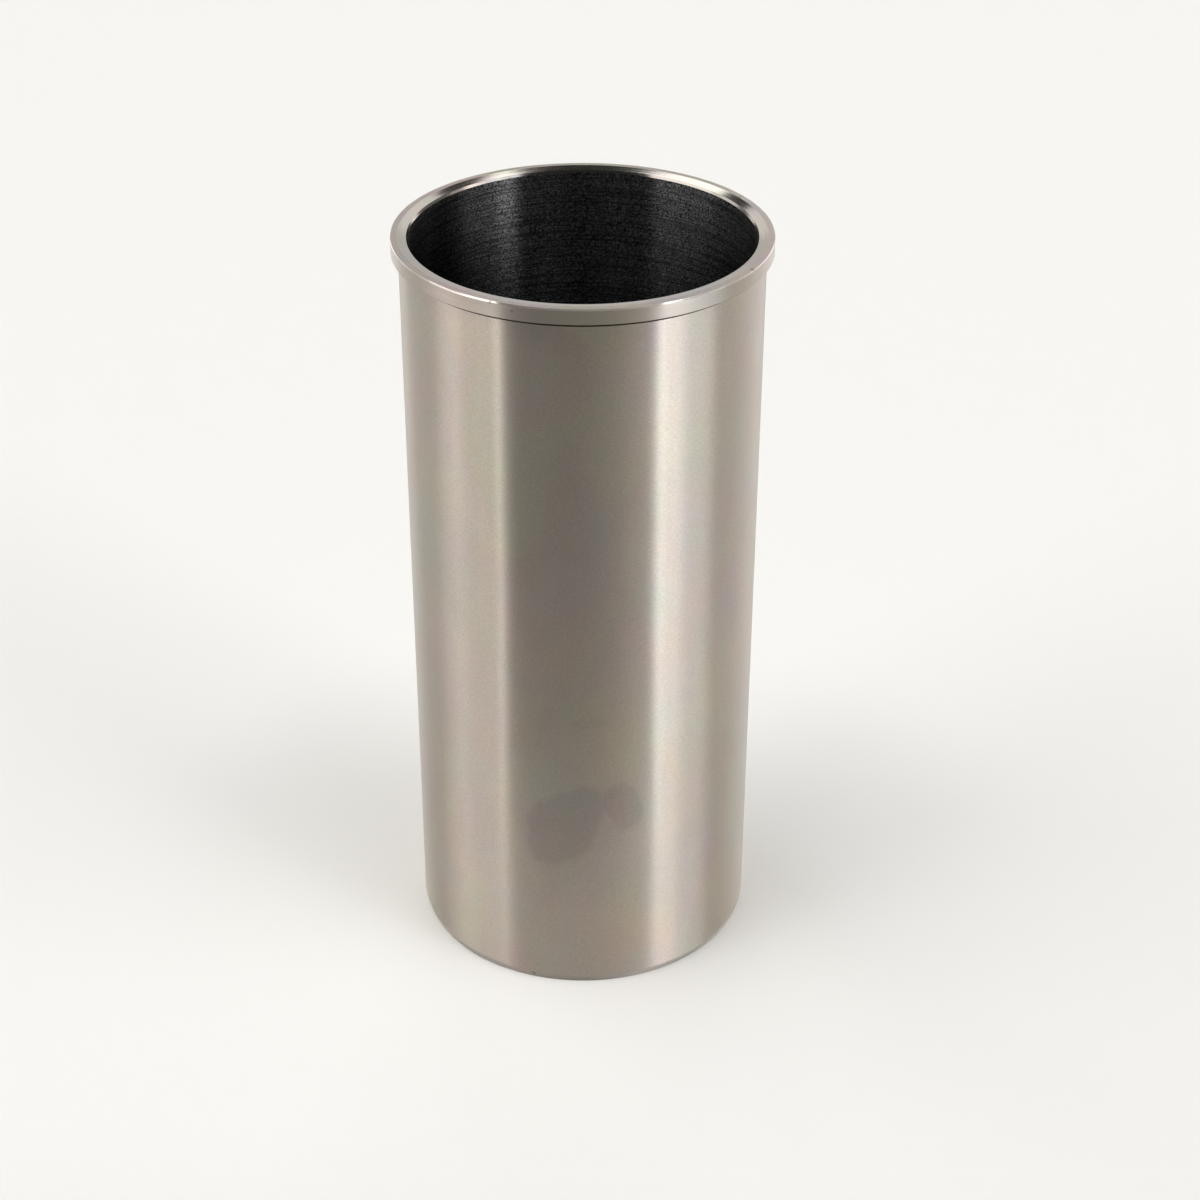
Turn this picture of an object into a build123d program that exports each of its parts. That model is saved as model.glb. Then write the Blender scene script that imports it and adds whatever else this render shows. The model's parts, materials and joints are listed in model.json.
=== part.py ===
"""Dry cylinder liner for a diesel engine block, bored and ready for finishing.

One thin cast iron sleeve, turned in one piece. Its ground barrel presses into the
block, and a narrow flange at the top drops into a counterbore and holds the height.

Frame: the origin is the centre of the foot face, and +Z runs up the bore axis.
Units: millimetres.
"""

import os
from math import radians, tan

from build123d import *

# Sleeve
bore_diameter = 97.5
wall_thickness = 2.85
overall_length = 226.6

# Flange
flange_thickness = 4.6
flange_overhang = 2.0  # how far the rim stands out from the barrel

# Mouth: the inner part of the top face is dished into the bore
mouth_width = 3.0
mouth_angle = 10.0  # degrees below the top face
mouth_edge_radius = 0.5

# Grinding relief round the barrel, below the flange. A corner radius as large as its
# depth brings it back to the barrel's diameter at the seat.
relief_width = 1.2
relief_depth = 0.3

# Foot
lead_in_length = 2.0
lead_in_angle = 15.0  # degrees from the bore axis
foot_bore_chamfer = 0.8

# Edge breaks on the flange
rim_top_break = 0.35
rim_seat_break = 0.2

bore_radius = bore_diameter / 2
barrel_radius = bore_radius + wall_thickness
flange_radius = barrel_radius + flange_overhang
seat_height = overall_length - flange_thickness
mouth_drop = mouth_width * tan(radians(mouth_angle))
lead_in_depth = lead_in_length * tan(radians(lead_in_angle))

os.makedirs("parts", exist_ok=True)

with BuildPart() as liner:
    # Half section on the XZ plane: x is the radius, y is the height
    with BuildSketch(Plane.XZ) as liner_profile:
        with BuildLine():
            bore_wall = Line((bore_radius, overall_length - mouth_drop), (bore_radius, 0))
            foot = Line(bore_wall @ 1, (barrel_radius - lead_in_depth, 0))
            lead_in = Line(foot @ 1, (barrel_radius, lead_in_length))
            barrel = Line(lead_in @ 1, (barrel_radius, seat_height - relief_width))
            relief = Polyline(
                barrel @ 1,
                (barrel_radius - relief_depth, seat_height - relief_width + relief_depth),
                (barrel_radius - relief_depth, seat_height - relief_depth),
            )
            corner = TangentArc(relief @ 1, (barrel_radius, seat_height), tangent=relief % 1)
            seat = Line(corner @ 1, (flange_radius, seat_height))
            rim = Line(seat @ 1, (flange_radius, overall_length))
            top_face = Line(rim @ 1, (bore_radius + mouth_width, overall_length))
            Line(top_face @ 1, bore_wall @ 0)
        make_face()
        # The mouth's inner edge is rounded, so that a piston ring never meets a sharp edge
        fillet(liner_profile.vertices().sort_by_distance(bore_wall @ 0)[0], radius=mouth_edge_radius)
    revolve(axis=Axis.Z)

    # Both edges of the rim are broken, the seat's edge less than the top one
    rim_edges = liner.edges().filter_by(GeomType.CIRCLE).group_by(SortBy.RADIUS)[-1]
    chamfer(rim_edges.sort_by(Axis.Z)[-1], length=rim_top_break)
    rim_edges = liner.edges().filter_by(GeomType.CIRCLE).group_by(SortBy.RADIUS)[-1]
    chamfer(rim_edges.sort_by(Axis.Z)[0], length=rim_seat_break)

    # The bore is opened at the foot too
    foot_edges = liner.edges().filter_by(GeomType.CIRCLE).group_by(Axis.Z)[0]
    chamfer(foot_edges.sort_by(SortBy.RADIUS)[0], length=foot_bore_chamfer)

liner.part.label = "cylinder_liner"
export_step(liner.part, "parts/cylinder_liner.step")

print(f"barrel diameter {2 * barrel_radius:.2f}, flange diameter {2 * flange_radius:.2f}")
print(f"seat height {seat_height:.2f}, volume {liner.part.volume / 1000:.1f} cm3")
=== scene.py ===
"""A dry cylinder liner on a pale floor: ground barrel, turned flange, dark bored bore.

The liner stands on its foot at the origin, with +Z up its bore axis, in metres. Its
sizes come from the frame's mounts. What the frame doesn't hold is set here: the small
breaks and the marks on the metal in millimetres, the sheet and the camera in metres,
and directions in degrees.
"""

import json
from math import cos, pi, radians, sin, tan

import bmesh
import bpy
from mathutils import Matrix, Vector


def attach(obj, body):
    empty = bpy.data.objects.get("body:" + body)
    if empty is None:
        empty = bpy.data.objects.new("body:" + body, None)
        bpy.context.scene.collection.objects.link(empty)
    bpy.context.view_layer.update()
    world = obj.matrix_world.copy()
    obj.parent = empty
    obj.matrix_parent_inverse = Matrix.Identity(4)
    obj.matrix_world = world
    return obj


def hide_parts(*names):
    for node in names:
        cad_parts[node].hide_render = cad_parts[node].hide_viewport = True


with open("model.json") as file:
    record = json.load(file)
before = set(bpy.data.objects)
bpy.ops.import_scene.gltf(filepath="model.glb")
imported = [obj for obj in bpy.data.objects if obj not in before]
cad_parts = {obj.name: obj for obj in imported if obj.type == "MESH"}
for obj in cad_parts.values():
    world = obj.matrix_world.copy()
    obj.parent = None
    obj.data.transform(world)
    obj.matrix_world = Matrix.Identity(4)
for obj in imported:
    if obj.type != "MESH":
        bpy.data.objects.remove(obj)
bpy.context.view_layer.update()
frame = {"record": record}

MM = 0.001
NODE = "cylinder_liner"
MOUNTS = {mount["name"]: mount for mount in frame["record"]["mounts"]}

# Sizes of the turned part, in millimetres
BORE_RADIUS = MOUNTS["bore"]["dims"]["r_mm"]
BARREL_RADIUS = MOUNTS["barrel"]["dims"]["r_mm"]
FLANGE_RADIUS = MOUNTS["flange_rim"]["dims"]["r_mm"]
SEAT_HEIGHT = MOUNTS["flange_seat"]["pos_m"][2] / MM
TOP_HEIGHT = MOUNTS["top_face"]["pos_m"][2] / MM

# Breaks, reliefs and lead-ins that the mounts don't give
RIM_BREAK_WIDTH = 0.12
RIM_BREAK_HEIGHT = 0.5
RIM_SEAT_BREAK = 0.2
MOUTH_WIDTH = 3.0
MOUTH_ANGLE = 10.0
LIP_WIDTH = 0.4
LIP_ANGLE = 60.0
RELIEF_WIDTH = 1.2
RELIEF_DEPTH = 0.3
LEAD_IN_LENGTH = 2.0
LEAD_IN_ANGLE = 15.0
FOOT_BORE_CHAMFER = 0.8

# How finely the section is turned, and its straight runs and its corner are cut
TURN_STEPS = 192
RUN_STEPS = 16
CORNER_STEPS = 6
SHARP_ANGLE = 6.0
MERGE_DISTANCE = 1e-6


# ---------------------------------------------------------------- camera

CAMERA_PLACE = Vector((0.0017, -0.6124, 0.4744))
CAMERA_PITCH = radians(30.98)  # below the horizon
CAMERA_TURN = radians(0.32)  # to the right
CAMERA_ROLL = radians(0.17)
CAMERA_LENS = 70.28
SENSOR_WIDTH = 36.0
CLIP_NEAR = 0.01
CLIP_FAR = 50.0


def make_camera():
    data = bpy.data.cameras.new("camera")
    data.lens = CAMERA_LENS
    data.sensor_width = SENSOR_WIDTH
    data.clip_start = CLIP_NEAR
    data.clip_end = CLIP_FAR
    camera = bpy.data.objects.new("camera", data)
    camera.matrix_world = (
        Matrix.Translation(CAMERA_PLACE)
        @ Matrix.Rotation(-CAMERA_TURN, 4, "Z")
        @ Matrix.Rotation(pi / 2 - CAMERA_PITCH, 4, "X")
        @ Matrix.Rotation(CAMERA_ROLL, 4, "Z")
    )
    bpy.context.scene.collection.objects.link(camera)
    bpy.context.scene.camera = camera


# ---------------------------------------------------------------- node helpers


def add(tree, kind, **settings):
    """A new node in a tree. A setting names a property, or an input where one has that name."""
    node = tree.nodes.new(kind)
    for name, value in settings.items():
        if name in node.bl_rna.properties:
            setattr(node, name, value)
        else:
            node.inputs[name].default_value = value
    return node


def math(tree, operation, first, second=None, third=None, clamp=False):
    node = add(tree, "ShaderNodeMath", operation=operation, use_clamp=clamp)
    for socket, value in zip(node.inputs, (first, second, third)):
        if isinstance(value, bpy.types.NodeSocket):
            tree.links.new(value, socket)
        elif value is not None:
            socket.default_value = value
    return node.outputs[0]


def mix_colour(tree, factor, first, second, blend="MIX"):
    node = add(tree, "ShaderNodeMix", data_type="RGBA", blend_type=blend)
    sockets = (node.inputs[0], node.inputs[6], node.inputs[7])
    for socket, value in zip(sockets, (factor, first, second)):
        if isinstance(value, bpy.types.NodeSocket):
            tree.links.new(value, socket)
        elif isinstance(value, (int, float)):
            socket.default_value = value
        else:
            socket.default_value = (*value, 1.0)
    return node.outputs[2]


def vector_math(tree, operation, first, second=None, output=0):
    node = add(tree, "ShaderNodeVectorMath", operation=operation)
    for socket, value in zip(node.inputs, (first, second)):
        if isinstance(value, bpy.types.NodeSocket):
            tree.links.new(value, socket)
        elif value is not None:
            socket.default_value = value
    return node.outputs[output]


def scaled(tree, vector, factor):
    """A vector made longer or shorter by a number or by a value."""
    node = add(tree, "ShaderNodeVectorMath", operation="SCALE")
    tree.links.new(vector, node.inputs[0])
    if isinstance(factor, bpy.types.NodeSocket):
        tree.links.new(factor, node.inputs["Scale"])
    else:
        node.inputs["Scale"].default_value = factor
    return node.outputs[0]


def noise(tree, vector, scale=1.0, detail=2.0, roughness=0.5, distortion=0.0):
    node = add(
        tree,
        "ShaderNodeTexNoise",
        Scale=scale,
        Detail=detail,
        Roughness=roughness,
        Distortion=distortion,
    )
    tree.links.new(vector, node.inputs["Vector"])
    return node


def span(tree, value, low, high, to_low=0.0, to_high=1.0):
    """value, taken smoothly from the span low..high to the span to_low..to_high."""
    node = add(tree, "ShaderNodeMapRange", interpolation_type="SMOOTHSTEP")
    tree.links.new(value, node.inputs[0])
    for socket, number in zip(node.inputs[1:5], (low, high, to_low, to_high)):
        socket.default_value = number
    return node.outputs[0]


# ---------------------------------------------------------------- surroundings

# The sheet of paper under the liner runs far back and to the sides, and fades out in front
SHEET_SIDE = 1.6
SHEET_BACK = 2.6
SHEET_FRONT = 0.18
SHEET_FADE = 0.07
PAPER_COLOUR = (0.90, 0.885, 0.85)
PAPER_ROUGHNESS = 0.7
PAPER_SPECULAR = 0.2

# Painted light round the foot: the paper is a little lighter there, standing in for the
# barrel's shine bounced onto it, and as light as the rest from the second distance below on
PAPER_BOUNCE_LIGHT = (0.940, 0.925, 0.890)
BOUNCE_LIGHT_START = 0.06
BOUNCE_LIGHT_END = 0.13

# How much of the paper shows in the metal, so that the room's bands run down to the foot
PAPER_IN_METAL = 0.5

# The backdrop that the camera alone sees behind the paper
BACKDROP = (0.905, 0.895, 0.865)

# The room round the liner: a direction, a level and a tint. 0 is the front, 90 the right
WARM = (1.0, 0.985, 0.96)
PALE = (1.0, 1.0, 1.0)
DAYLIGHT = (0.92, 1.0, 1.07)
ROOM = (
    (-180, 0.50, PALE),
    (-164, 0.60, PALE),
    (-152, 1.90, PALE),
    (-133, 0.74, WARM),
    (-112, 0.54, WARM),
    (-97, 0.76, PALE),
    (-85, 1.24, PALE),
    (-78, 0.54, WARM),
    (-62, 0.73, WARM),
    (-56, 0.56, PALE),
    (-54.5, 1.75, PALE),
    (-51.5, 1.75, PALE),
    (-50.5, 0.20, WARM),
    (-40, 0.27, WARM),
    (-20, 0.28, WARM),
    (4, 0.33, WARM),
    (22, 0.39, WARM),
    (38, 0.58, WARM),
    (46, 0.42, WARM),
    (47.5, 2.20, DAYLIGHT),
    (51, 2.20, DAYLIGHT),
    (53.5, 1.30, DAYLIGHT),
    (58, 1.35, PALE),
    (62, 2.10, DAYLIGHT),
    (66, 1.65, DAYLIGHT),
    (71, 1.30, DAYLIGHT),
    (87, 1.55, DAYLIGHT),
    (89, 0.50, PALE),
    (108, 0.68, PALE),
    (124, 1.12, PALE),
    (150, 1.90, PALE),
    (166, 0.52, PALE),
)
ROOM_BRIGHTEST = 4.0  # the colour ramp holds each level as a share of this

# The ceiling over the room, the same way, and the lamp straight above. Each takes over
# from what is below it between two heights, in degrees up.
CEILING = (
    (-180, 0.35),
    (-130, 0.50),
    (-110, 1.20),
    (-70, 1.20),
    (-54, 0.30),
    (0, 0.04),
    (52, 0.10),
    (62, 0.80),
    (92, 0.80),
    (100, 0.40),
    (130, 0.40),
    (180, 0.35),
)
CEILING_BRIGHTEST = 2.0
CEILING_START = 33
CEILING_FULL = 46
LAMP_LEVEL = 2.6
LAMP_EDGE = 70
LAMP_FULL = 76

# Parts of the room with edges of their own. Each is (from, to) in degrees round, (from, to)
# in degrees up, and a level. One further down the list covers those above it. Those in
# front are measured from the front, and those behind from the back.
FRONT_PARTS = (
    (-97.0, -49.5, -4.0, 6.0, 2.2),  # the wide soft lamp on the left, brightest at its foot
    (-97.0, -49.5, 6.0, 50.0, 1.9),
    (-49.5, 45.0, 8.0, 62.0, 0.03),  # the dark side of the room, behind the camera
    (46.0, 60.0, 6.0, 30.0, 6.0),  # the window on the right, with a bright edge and a sill
    (60.0, 88.0, 6.0, 30.0, 2.2),
    (57.0, 88.0, -6.0, 6.0, 0.6),
    (-75.0, -28.0, 63.0, 90.0, 5.7),  # two lamps high up, left and right
    (28.0, 75.0, 63.0, 90.0, 5.7),
)
BACK_PARTS = (
    (-83.0, 80.0, 6.0, 66.0, 0.2),  # the back wall, with a pale panel on its left
    (-83.0, -35.0, 12.0, 52.0, 1.2),
    (-18.0, 18.0, 28.5, 62.0, 0.03),  # the dark bay in its middle, and the door under it
    (-10.0, 18.0, 3.0, 32.5, 0.98),
    (-10.0, 0.0, 28.5, 33.0, 0.03),
    (-13.0, -3.3, 32.8, 50.0, 2.1),  # two lamps in the bay
    (2.7, 13.0, 37.4, 50.0, 2.2),
    (-3.5, 3.5, 3.0, 27.0, 0.66),  # a dimmer strip down the door
)


def make_floor():
    bm = bmesh.new()
    corners = [
        bm.verts.new((x, y, 0.0))
        for x, y in (
            (-SHEET_SIDE, -SHEET_FRONT),
            (SHEET_SIDE, -SHEET_FRONT),
            (SHEET_SIDE, SHEET_BACK),
            (-SHEET_SIDE, SHEET_BACK),
        )
    ]
    bm.faces.new(corners)
    mesh = bpy.data.meshes.new("floor")
    bm.to_mesh(mesh)
    bm.free()
    floor = bpy.data.objects.new("floor", mesh)
    bpy.context.scene.collection.objects.link(floor)

    material = bpy.data.materials.new("pale_paper")
    material.use_nodes = True
    tree = material.node_tree
    shader = tree.nodes["Principled BSDF"]
    shader.inputs["Roughness"].default_value = PAPER_ROUGHNESS
    shader.inputs["Specular IOR Level"].default_value = PAPER_SPECULAR
    place = add(tree, "ShaderNodeTexCoord").outputs["Object"]
    split = add(tree, "ShaderNodeSeparateXYZ")
    tree.links.new(place, split.inputs[0])
    front = span(tree, split.outputs["Y"], -SHEET_FRONT, -SHEET_FRONT + SHEET_FADE)
    reach = vector_math(tree, "LENGTH", place, output=1)
    # Painted light: the paper's colour is lighter near the foot, in place of light bounced off
    # the barrel
    near = span(tree, reach, BOUNCE_LIGHT_START, BOUNCE_LIGHT_END, 1.0, 0.0)
    paper = mix_colour(tree, near, PAPER_COLOUR, PAPER_BOUNCE_LIGHT)
    tree.links.new(paper, shader.inputs["Base Color"])
    in_metal = add(tree, "ShaderNodeLightPath").outputs["Is Glossy Ray"]
    thin = math(tree, "MULTIPLY_ADD", in_metal, PAPER_IN_METAL - 1.0, 1.0)
    # From below the paper is clear, so that the foot can be seen
    below = add(tree, "ShaderNodeNewGeometry").outputs["Backfacing"]
    thin = math(tree, "MULTIPLY", thin, math(tree, "SUBTRACT", 1.0, below))
    tree.links.new(math(tree, "MULTIPLY", front, thin), shader.inputs["Alpha"])
    mesh.materials.append(material)


def tones_round(tree, turn, stops, brightest):
    """Colours by compass direction. Each stop is a direction, a level and maybe a tint."""
    ramp = add(tree, "ShaderNodeValToRGB")
    part = math(tree, "MULTIPLY_ADD", turn, 1 / 360, 0.5)
    tree.links.new(part, ramp.inputs[0])
    elements = ramp.color_ramp.elements
    while len(elements) < len(stops):
        elements.new(0.5)
    for element, (direction, *_) in zip(elements, stops):
        element.position = direction / 360 + 0.5
    for element, (_, level, *tint) in zip(elements, stops):
        colour = tint[0] if tint else PALE
        element.color = (*(level / brightest * channel for channel in colour), 1.0)
    return mix_colour(tree, 1.0, ramp.outputs[0], (brightest,) * 3, "MULTIPLY")


def make_world():
    """The room by direction. The camera sees a plain pale backdrop in its place."""
    world = bpy.data.worlds.new("studio")
    bpy.context.scene.world = world
    world.use_nodes = True
    tree = world.node_tree
    tree.nodes.clear()
    output = add(tree, "ShaderNodeOutputWorld")
    place = add(tree, "ShaderNodeTexCoord")
    split = add(tree, "ShaderNodeSeparateXYZ")
    tree.links.new(place.outputs["Generated"], split.inputs[0])
    x, y, z = split.outputs

    turn = math(tree, "ARCTAN2", x, math(tree, "MULTIPLY", y, -1.0))
    turn = math(tree, "MULTIPLY", turn, 180 / pi)
    rise = math(tree, "MULTIPLY", math(tree, "ARCSINE", z), 180 / pi)
    room = tones_round(tree, turn, ROOM, ROOM_BRIGHTEST)
    ceiling = tones_round(tree, turn, CEILING, CEILING_BRIGHTEST)
    overhead = span(tree, rise, CEILING_START, CEILING_FULL)
    around = mix_colour(tree, overhead, room, ceiling)
    lamp = span(tree, rise, LAMP_EDGE, LAMP_FULL)
    around = mix_colour(tree, lamp, around, (LAMP_LEVEL,) * 3)

    back_turn = math(tree, "MULTIPLY", math(tree, "ARCTAN2", x, y), 180 / pi)
    for way, parts in ((turn, FRONT_PARTS), (back_turn, BACK_PARTS)):
        for left, right, low, high, tone in parts:
            across = math(tree, "COMPARE", way, (left + right) / 2, (right - left) / 2)
            up = math(tree, "COMPARE", rise, (low + high) / 2, (high - low) / 2)
            shape = math(tree, "MULTIPLY", across, up)
            around = mix_colour(tree, shape, around, (tone,) * 3)

    level = add(tree, "ShaderNodeBackground", Strength=1.0)
    tree.links.new(around, level.inputs["Color"])
    pale = add(tree, "ShaderNodeBackground", Color=(*BACKDROP, 1.0), Strength=1.0)
    path = add(tree, "ShaderNodeLightPath")
    choose = add(tree, "ShaderNodeMixShader")
    tree.links.new(path.outputs["Is Camera Ray"], choose.inputs[0])
    tree.links.new(level.outputs[0], choose.inputs[1])
    tree.links.new(pale.outputs[0], choose.inputs[2])
    tree.links.new(choose.outputs[0], output.inputs[0])


# ---------------------------------------------------------------- shared effects

# Tool marks: how rough the rings are, and the slope that a full tilt gives
RING_DETAIL = 3.0
RING_ROUGHNESS = 0.6
RING_SLOPE = 4.0

# The film of oil: patches per metre, and how much longer they are than wide
FILM_PATCHES = 55.0
FILM_DETAIL = 2.0
FILM_ROUGHNESS = 0.55
FILM_DISTORTION = 0.6
FILM_STRETCH = (1.0, 1.0, 0.6)

# Nicks: how many to the metre, how ragged, and the dot inside each cell
NICK_COUNT = 330.0
NICK_RAGGED_SCALE = 900.0
NICK_RAGGED = 0.0012
NICK_CORE = 0.10
NICK_EDGE = 0.30
NICK_DARK = (0.06, 0.05, 0.04)
NICK_STRENGTH = 0.6


def new_group(name, inputs, outputs):
    """A shader node group. inputs and outputs are (name, kind, value) and (name, kind)."""
    tree = bpy.data.node_groups.new(name, "ShaderNodeTree")
    for label, kind, value in inputs:
        socket = tree.interface.new_socket(label, in_out="INPUT", socket_type=kind)
        if value is not None:
            socket.default_value = value
    for label, kind in outputs:
        tree.interface.new_socket(label, in_out="OUTPUT", socket_type=kind)
    return tree, add(tree, "NodeGroupInput"), add(tree, "NodeGroupOutput")


def turned_place(tree, vector, around, along):
    """Object coordinates stretched so that a texture runs round the axis as fine rings."""
    split = add(tree, "ShaderNodeSeparateXYZ")
    tree.links.new(vector, split.inputs[0])
    x, y, z = split.outputs
    squares = math(tree, "ADD", math(tree, "MULTIPLY", x, x), math(tree, "MULTIPLY", y, y))
    run = math(tree, "ADD", math(tree, "SQRT", squares), z)
    place = add(tree, "ShaderNodeCombineXYZ")
    tree.links.new(math(tree, "MULTIPLY", x, around), place.inputs[0])
    tree.links.new(math(tree, "MULTIPLY", y, around), place.inputs[1])
    tree.links.new(math(tree, "MULTIPLY", run, along), place.inputs[2])
    return place.outputs[0]


def make_tool_marks():
    """Fine rings left by turning, boring or grinding: a tilted normal and a grey value."""
    tree, given, result = new_group(
        "tool_marks",
        (
            ("Vector", "NodeSocketVector", None),
            ("Around", "NodeSocketFloat", 20.0),
            ("Along", "NodeSocketFloat", 3000.0),
            ("Tilt", "NodeSocketFloat", 0.1),
        ),
        (("Normal", "NodeSocketVector"), ("Value", "NodeSocketFloat")),
    )
    vector, around, along, tilt = given.outputs[:4]
    place = turned_place(tree, vector, around, along)
    rings = noise(tree, place, 1.0, RING_DETAIL, RING_ROUGHNESS).outputs[0]
    centred = math(tree, "SUBTRACT", rings, 0.5)
    slope = math(tree, "MULTIPLY", math(tree, "MULTIPLY", centred, tilt), RING_SLOPE)

    # The normal leans across the rings, along the run of the surface
    normal = add(tree, "ShaderNodeNewGeometry").outputs["Normal"]
    turn_way = vector_math(tree, "CROSS_PRODUCT", (0.0, 0.0, 1.0), vector)
    turn_way = in_world(tree, vector_math(tree, "NORMALIZE", turn_way))
    run_way = vector_math(tree, "CROSS_PRODUCT", normal, turn_way)
    tilted = vector_math(tree, "ADD", normal, scaled(tree, run_way, slope))
    tree.links.new(vector_math(tree, "NORMALIZE", tilted), result.inputs["Normal"])
    tree.links.new(rings, result.inputs["Value"])
    return tree


def in_world(tree, vector):
    node = add(
        tree,
        "ShaderNodeVectorTransform",
        vector_type="VECTOR",
        convert_from="OBJECT",
        convert_to="WORLD",
    )
    tree.links.new(vector, node.inputs[0])
    return node.outputs[0]


def make_film():
    """Faint patches of colour from oil and thin oxide, near white."""
    tree, given, result = new_group(
        "film",
        (
            ("Vector", "NodeSocketVector", None),
            ("Size", "NodeSocketFloat", FILM_PATCHES),
            ("Strength", "NodeSocketFloat", 0.1),
        ),
        (("Color", "NodeSocketColor"),),
    )
    vector, size, strength = given.outputs[:3]
    tall = vector_math(tree, "MULTIPLY", vector, FILM_STRETCH)
    patches = noise(tree, tall, FILM_PATCHES, FILM_DETAIL, FILM_ROUGHNESS, FILM_DISTORTION)
    tree.links.new(size, patches.inputs["Scale"])
    doubled = mix_colour(tree, 1.0, patches.outputs["Color"], (2.0, 2.0, 2.0), "MULTIPLY")
    tint = mix_colour(tree, strength, (1.0, 1.0, 1.0), doubled)
    tree.links.new(tint, result.inputs["Color"])
    return tree


def make_nicks():
    """A mask of small scattered nicks and pits."""
    tree, given, result = new_group(
        "nicks",
        (
            ("Vector", "NodeSocketVector", None),
            ("Count", "NodeSocketFloat", NICK_COUNT),
            ("Share", "NodeSocketFloat", 0.1),
        ),
        (("Mask", "NodeSocketFloat"),),
    )
    vector, count, share = given.outputs[:3]
    ragged = noise(tree, vector, NICK_RAGGED_SCALE).outputs["Color"]
    ragged = vector_math(tree, "SUBTRACT", ragged, (0.5, 0.5, 0.5))
    ragged = vector_math(tree, "ADD", vector, scaled(tree, ragged, NICK_RAGGED))
    cells = add(tree, "ShaderNodeTexVoronoi", feature="F1")
    tree.links.new(ragged, cells.inputs["Vector"])
    tree.links.new(count, cells.inputs["Scale"])
    dot = span(tree, cells.outputs["Distance"], NICK_CORE, NICK_EDGE, 1.0, 0.0)
    split = add(tree, "ShaderNodeSeparateColor")
    tree.links.new(cells.outputs["Color"], split.inputs[0])
    chosen = math(tree, "LESS_THAN", split.outputs[0], share)
    tree.links.new(math(tree, "MULTIPLY", dot, chosen), result.inputs["Mask"])
    return tree


def make_smudge():
    """One soft-edged oval mark on the barrel, at a direction and a height."""
    tree, given, result = new_group(
        "smudge",
        (
            ("Vector", "NodeSocketVector", None),
            ("Turn", "NodeSocketFloat", 0.0),
            ("Height", "NodeSocketFloat", 60.0),
            ("Half Width", "NodeSocketFloat", 12.0),
            ("Half Height", "NodeSocketFloat", 15.0),
            ("Lean", "NodeSocketFloat", 0.0),
            ("Edge", "NodeSocketFloat", 0.2),
            ("Wobble", "NodeSocketFloat", 0.0),
        ),
        (("Mask", "NodeSocketFloat"),),
    )
    vector, turn, height, half_width, half_height, lean, edge, wobble = given.outputs[:8]
    split = add(tree, "ShaderNodeSeparateXYZ")
    tree.links.new(vector, split.inputs[0])
    x, y, z = split.outputs
    here = math(tree, "ARCTAN2", x, math(tree, "MULTIPLY", y, -1.0))
    here = math(tree, "MULTIPLY", here, 180 / pi)
    across = math(tree, "SUBTRACT", here, turn)
    across = math(tree, "MULTIPLY", across, BARREL_RADIUS * pi / 180)
    up = math(tree, "SUBTRACT", math(tree, "DIVIDE", z, MM), height)
    across = math(tree, "SUBTRACT", across, math(tree, "MULTIPLY", up, lean))
    across = math(tree, "DIVIDE", across, half_width)
    up = math(tree, "DIVIDE", up, half_height)
    squares = (math(tree, "MULTIPLY", across, across), math(tree, "MULTIPLY", up, up))
    reach = math(tree, "SQRT", math(tree, "ADD", *squares))
    reach = math(tree, "ADD", reach, wobble)
    inside = math(tree, "DIVIDE", math(tree, "SUBTRACT", 1.0, reach), edge, clamp=True)
    tree.links.new(inside, result.inputs["Mask"])
    return tree


# ---------------------------------------------------------------- materials

# The turned finishes by zone: material, colour, roughness, anisotropy, rings (round the
# axis, along the run, tilt), film and the share of cells that have a nick
TURNED = {
    "rim": ("turned_rim", (0.48, 0.425, 0.365), 0.34, 0.9, (20.0, 3000.0, 0.10), 0.1, 0.10),
    "top": ("faced_ring", (0.505, 0.435, 0.385), 0.30, 0.6, (20.0, 3000.0, 0.08), 0.2, 0.05),
    "edge": ("broken_edge", (0.72, 0.66, 0.59), 0.14, 0.5, (60.0, 3000.0, 0.06), 0.1, 0.10),
    "mouth": ("dished_mouth", (0.56, 0.51, 0.45), 0.08, 0.0, (20.0, 3000.0, 0.012), 0.15, 0.0),
    "lip": ("bright_lip", (0.46, 0.41, 0.37), 0.14, 0.0, (20.0, 3000.0, 0.02), 0.1, 0.0),
    "foot": ("turned_foot", (0.42, 0.38, 0.33), 0.38, 0.6, (20.0, 3000.0, 0.08), 0.1, 0.08),
}
TURNED_STREAKS = 0.06
ACROSS_RINGS = 0.25  # a quarter turn from the way that the rings run

# The ground barrel
BARREL_COLOUR = (0.515, 0.450, 0.385)
BARREL_EDGE_TINT = (0.80, 0.80, 0.80, 1.0)  # duller than clean iron when seen along it
BARREL_ROUGHNESS = 0.28
BARREL_GRAIN = (1500.0, 2600.0, 0.04)
BARREL_FILM = 0.12
BARREL_STREAKS = 0.26

# Finger marks on the barrel: direction, height, half width, half height, lean, depth
FINGER_MARKS = (
    (-6.0, 58.6, 11.5, 15.5, 0.35, 0.26),
    (13.2, 66.3, 6.6, 9.8, -0.10, 0.23),
    (1.5, 96.0, 6.5, 1.6, 0.0, 0.10),
)
FINGER_TINT = (0.50, 0.49, 0.57)
FINGER_WOBBLE_SCALE = 110.0
FINGER_WOBBLE_DETAIL = 3.0
FINGER_WOBBLE = 0.9

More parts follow.
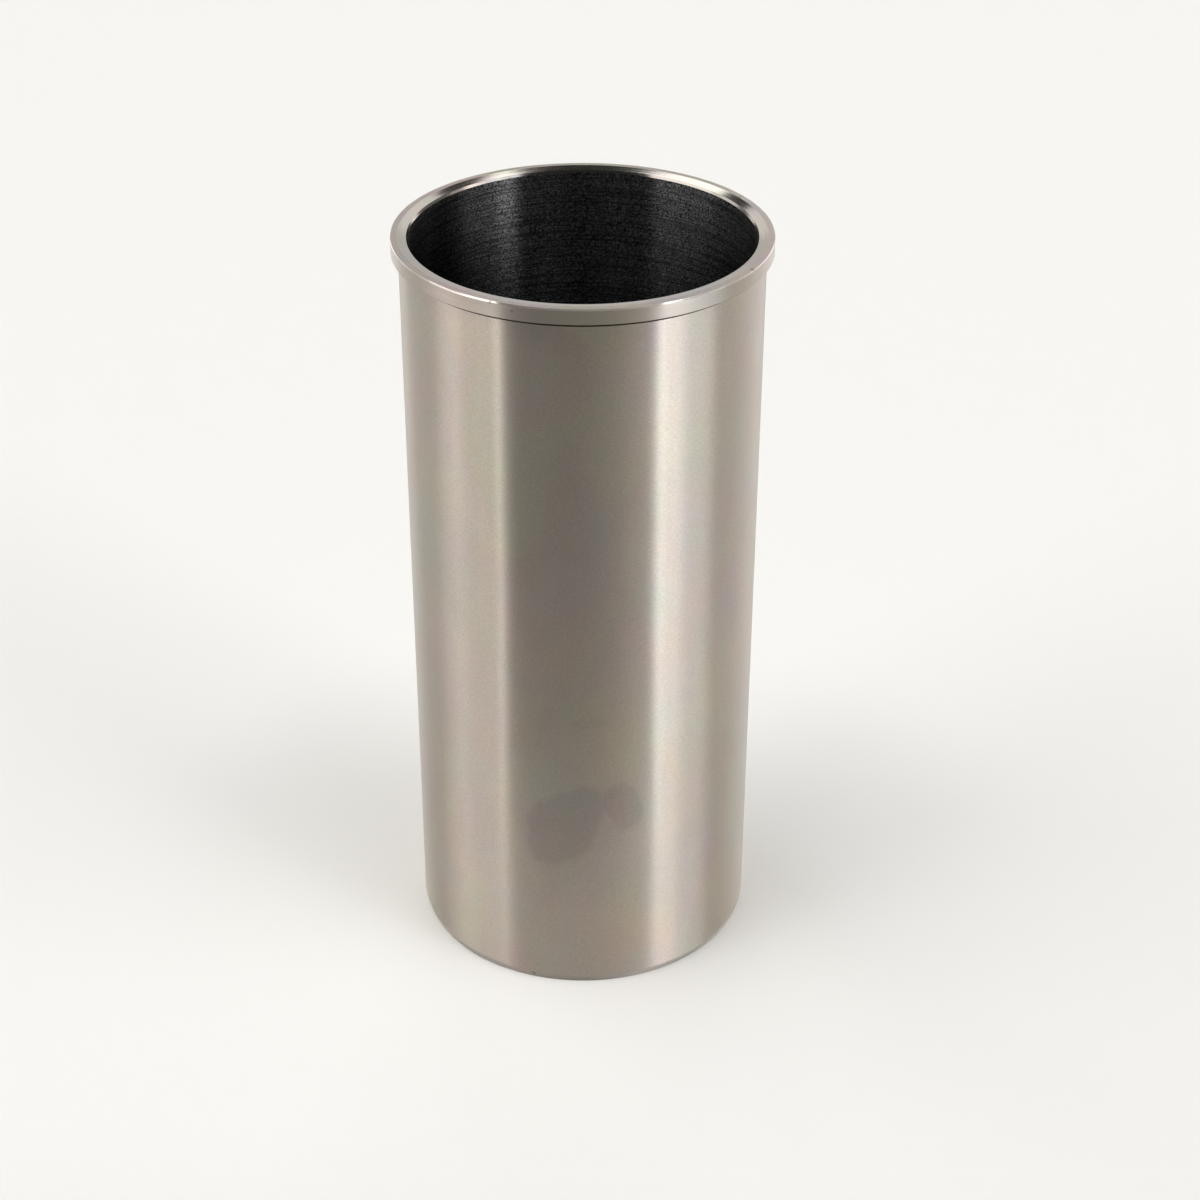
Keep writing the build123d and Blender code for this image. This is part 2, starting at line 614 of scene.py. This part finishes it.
# The bore: long dark lines and a fine grain, with painted shade that darkens the grain deeper
# in, between two depths
BORE_DARK = (0.014, 0.019, 0.026)
BORE_PALE = (0.50, 0.485, 0.465)
BORE_ROUGHNESS = 0.28
BORE_LINES = {"Around": 22.0, "Along": 1500.0, "Tilt": 0.15}
BORE_LINE_SPAN = (0.38, 0.56)
BORE_LINE_DEPTH = 0.7
BORE_GRAIN = {"Around": 1900.0, "Along": 3000.0, "Tilt": 0.0}
BORE_GRAIN_SPAN = (0.38, 0.68)
BORE_SHADE_START_BELOW = 8.0
BORE_SHADE_FULL_BELOW = 62.0
BORE_DEEP_SHADE_LEVEL = 0.4

# The undercut below the flange and the break under its seat, coloured near black as painted
# shade where the flange's shadow falls
CORNER_SHADE_COLOUR = (0.10, 0.085, 0.07, 1.0)
CORNER_ROUGHNESS = 0.5
CORNER_ANISOTROPY = 0.4


def group(tree, name, place, **values):
    """A shared effect placed in a material, with its values by the names of its inputs."""
    node = add(tree, "ShaderNodeGroup", node_tree=bpy.data.node_groups[name])
    tree.links.new(place, node.inputs["Vector"])
    for label, value in values.items():
        node.inputs[label.replace("_", " ")].default_value = value
    return node


def grey(tree, value):
    node = add(tree, "ShaderNodeCombineColor")
    for socket in node.inputs[:3]:
        tree.links.new(value, socket)
    return node.outputs[0]


def metal(name, roughness, anisotropy):
    """A bare machined metal, whose highlights spread across rings round the axis."""
    material = bpy.data.materials.new(name)
    material.use_nodes = True
    tree = material.node_tree
    shader = tree.nodes["Principled BSDF"]
    shader.inputs["Metallic"].default_value = 1.0
    shader.inputs["Roughness"].default_value = roughness
    shader.inputs["Anisotropic"].default_value = anisotropy
    shader.inputs["Anisotropic Rotation"].default_value = ACROSS_RINGS
    round_axis = add(tree, "ShaderNodeTangent", direction_type="RADIAL", axis="Z")
    tree.links.new(round_axis.outputs[0], shader.inputs["Tangent"])
    place = add(tree, "ShaderNodeTexCoord").outputs["Object"]
    return material, tree, shader, place


def turned(name, colour, roughness, anisotropy, tool, film, nicked, streaks=TURNED_STREAKS):
    """Turned, faced or ground iron: fine rings, patches of film and maybe dark nicks."""
    material, tree, shader, place = metal(name, roughness, anisotropy)
    around, along, tilt = tool
    rings = group(tree, "tool_marks", place, Around=around, Along=along, Tilt=tilt)
    tree.links.new(rings.outputs["Normal"], shader.inputs["Normal"])
    tint = group(tree, "film", place, Strength=film).outputs["Color"]
    base = mix_colour(tree, 1.0, colour, tint, "MULTIPLY")
    light = math(tree, "MULTIPLY_ADD", rings.outputs["Value"], 2 * streaks, 1.0 - streaks)
    base = mix_colour(tree, 1.0, base, grey(tree, light), "MULTIPLY")
    if nicked:
        pits = group(tree, "nicks", place, Count=NICK_COUNT, Share=nicked).outputs["Mask"]
        pits = math(tree, "MULTIPLY", pits, NICK_STRENGTH)
        base = mix_colour(tree, pits, base, NICK_DARK)
    tree.links.new(base, shader.inputs["Base Color"])
    return material, tree, shader, place, base


def make_barrel_iron():
    """Ground all over, with a film of oil and finger marks low on the front."""
    material, tree, shader, place, base = turned(
        "ground_iron",
        BARREL_COLOUR,
        BARREL_ROUGHNESS,
        anisotropy=1.0,
        tool=BARREL_GRAIN,
        film=BARREL_FILM,
        nicked=0.0,
        streaks=BARREL_STREAKS,
    )
    shader.inputs["Specular Tint"].default_value = BARREL_EDGE_TINT
    wobble = noise(tree, place, FINGER_WOBBLE_SCALE, FINGER_WOBBLE_DETAIL).outputs[0]
    wobble = math(tree, "MULTIPLY_ADD", wobble, FINGER_WOBBLE, -FINGER_WOBBLE / 2)
    amount = 0.0
    for turn, height, half_width, half_height, lean, depth in FINGER_MARKS:
        mark = group(
            tree,
            "smudge",
            place,
            Turn=turn,
            Height=height,
            Half_Width=half_width,
            Half_Height=half_height,
            Lean=lean,
        )
        tree.links.new(wobble, mark.inputs["Wobble"])
        stain = math(tree, "MULTIPLY", mark.outputs["Mask"], depth)
        amount = math(tree, "MAXIMUM", amount, stain)
    tinted = mix_colour(tree, 1.0, base, FINGER_TINT, "MULTIPLY")
    tree.links.new(mix_colour(tree, amount, base, tinted), shader.inputs["Base Color"])
    return material


def make_bore_iron():
    """Rough-bored: a fine pale grain on near black, crossed by long dark lines."""
    material, tree, shader, place = metal("bored_iron", BORE_ROUGHNESS, anisotropy=1.0)
    lines = group(tree, "tool_marks", place, **BORE_LINES)
    tree.links.new(lines.outputs["Normal"], shader.inputs["Normal"])
    grain = group(tree, "tool_marks", place, **BORE_GRAIN)
    clear = span(tree, lines.outputs["Value"], *BORE_LINE_SPAN)
    clear = math(tree, "MULTIPLY_ADD", clear, BORE_LINE_DEPTH, 1.0 - BORE_LINE_DEPTH)
    pale = math(tree, "MULTIPLY", clear, span(tree, grain.outputs["Value"], *BORE_GRAIN_SPAN))
    # Painted shade: the pale grain is darkened deeper in the bore, where less light reaches
    split = add(tree, "ShaderNodeSeparateXYZ")
    tree.links.new(place, split.inputs[0])
    low = (TOP_HEIGHT - BORE_SHADE_FULL_BELOW) * MM
    high = (TOP_HEIGHT - BORE_SHADE_START_BELOW) * MM
    painted_depth_shade = span(tree, split.outputs["Z"], low, high, BORE_DEEP_SHADE_LEVEL, 1.0)
    pale = math(tree, "MULTIPLY", pale, painted_depth_shade)
    base = mix_colour(tree, pale, BORE_DARK, BORE_PALE)
    tree.links.new(base, shader.inputs["Base Color"])
    return material


def make_shaded_corner():
    """Painted shade: the undercut below the flange and the break under its seat, coloured dark
    where the flange's shadow falls.
    """
    material, _, shader, _ = metal("shaded_corner", CORNER_ROUGHNESS, CORNER_ANISOTROPY)
    shader.inputs["Base Color"].default_value = CORNER_SHADE_COLOUR
    return material


def make_materials():
    make_tool_marks()
    make_film()
    make_nicks()
    make_smudge()
    materials = {zone: turned(*finish)[0] for zone, finish in TURNED.items()}
    materials["barrel"] = make_barrel_iron()
    materials["corner"] = make_shaded_corner()
    materials["bore"] = make_bore_iron()
    return materials


# ---------------------------------------------------------------- the liner

ZONES = ("barrel", "corner", "rim", "top", "edge", "mouth", "lip", "bore", "foot")


def straight_run(radius, low, high):
    """Points up one radius, close enough for the turned faces to stay fairly square."""
    steps = range(RUN_STEPS + 1)
    return [(radius, low + (high - low) * step / RUN_STEPS) for step in steps]


def outline():
    """The half section as (zone, [(radius, height), ...]) runs, end to end, in millimetres."""
    mouth_drop = (MOUTH_WIDTH - LIP_WIDTH) * tan(radians(MOUTH_ANGLE))
    lip_drop = LIP_WIDTH * tan(radians(LIP_ANGLE))
    lead_in_depth = LEAD_IN_LENGTH * tan(radians(LEAD_IN_ANGLE))
    mouth_start = (BORE_RADIUS + MOUTH_WIDTH, TOP_HEIGHT)
    # The lip between the dished mouth and the bore is small enough to be one flat break
    lip_start = (BORE_RADIUS + LIP_WIDTH, TOP_HEIGHT - mouth_drop)
    bore_top = TOP_HEIGHT - mouth_drop - lip_drop
    rim_side = (FLANGE_RADIUS, TOP_HEIGHT - RIM_BREAK_HEIGHT)
    rim_top = (FLANGE_RADIUS - RIM_BREAK_WIDTH, TOP_HEIGHT)
    relief_foot = SEAT_HEIGHT - RELIEF_WIDTH
    relief_start = (BARREL_RADIUS - RELIEF_DEPTH, relief_foot + RELIEF_DEPTH)
    seat_inside = (FLANGE_RADIUS - RIM_SEAT_BREAK, SEAT_HEIGHT)
    seat_outside = (FLANGE_RADIUS, SEAT_HEIGHT + RIM_SEAT_BREAK)
    foot_inside = (BORE_RADIUS + FOOT_BORE_CHAMFER, 0.0)
    foot_outside = (BARREL_RADIUS - lead_in_depth, 0.0)
    bore = straight_run(BORE_RADIUS, FOOT_BORE_CHAMFER, bore_top)

    corner = [
        (
            BARREL_RADIUS - RELIEF_DEPTH * cos(angle),
            SEAT_HEIGHT - RELIEF_DEPTH * (1 - sin(angle)),
        )
        for angle in (radians(90 * step / CORNER_STEPS) for step in range(CORNER_STEPS + 1))
    ]
    return [
        ("foot", [foot_inside, foot_outside]),
        ("foot", [foot_outside, (BARREL_RADIUS, LEAD_IN_LENGTH)]),
        ("barrel", straight_run(BARREL_RADIUS, LEAD_IN_LENGTH, relief_foot)),
        # The undercut and the break under the seat take the corner colour, which is painted
        # shade
        ("corner", [(BARREL_RADIUS, relief_foot), relief_start]),
        ("corner", [relief_start, corner[0]]),
        ("corner", corner),
        ("rim", [corner[-1], seat_inside]),
        ("corner", [seat_inside, seat_outside]),
        ("rim", [seat_outside, rim_side]),
        ("edge", [rim_side, rim_top]),
        ("top", [rim_top, mouth_start]),
        ("mouth", [mouth_start, lip_start]),
        ("lip", [lip_start, (BORE_RADIUS, bore_top)]),
        ("bore", bore[::-1]),
        ("foot", [(BORE_RADIUS, FOOT_BORE_CHAMFER), foot_inside]),
    ]


def make_liner(materials):
    """Spins each run of the section round the axis, and welds them into one casting."""
    bm = bmesh.new()
    for zone, run in outline():
        previous = None
        edges = []
        verts = []
        for radius, height in run:
            vert = bm.verts.new((radius * MM, 0.0, height * MM))
            verts.append(vert)
            if previous:
                edges.append(bm.edges.new((previous, vert)))
            previous = vert
        old = set(bm.faces)
        bmesh.ops.spin(
            bm,
            geom=verts + edges,
            cent=(0, 0, 0),
            axis=(0, 0, 1),
            dvec=(0, 0, 0),
            angle=2 * pi,
            steps=TURN_STEPS,
            use_merge=True,
            use_duplicate=False,
        )
        for face in bm.faces:
            if face not in old:
                face.material_index = ZONES.index(zone)
                face.smooth = True
    bmesh.ops.remove_doubles(bm, verts=bm.verts, dist=MERGE_DISTANCE)
    bmesh.ops.recalc_face_normals(bm, faces=bm.faces)
    for edge in bm.edges:
        edge.smooth = edge.calc_face_angle(0.0) < radians(SHARP_ANGLE)
    mesh = bpy.data.meshes.new("liner")
    bm.to_mesh(mesh)
    bm.free()
    for zone in ZONES:
        mesh.materials.append(materials[zone])
    liner = bpy.data.objects.new("liner", mesh)
    bpy.context.scene.collection.objects.link(liner)
    return liner


make_camera()
make_floor()
make_world()
liner = make_liner(make_materials())
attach(liner, "root")
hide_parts(NODE)

bpy.context.scene.view_settings.view_transform = "Standard"
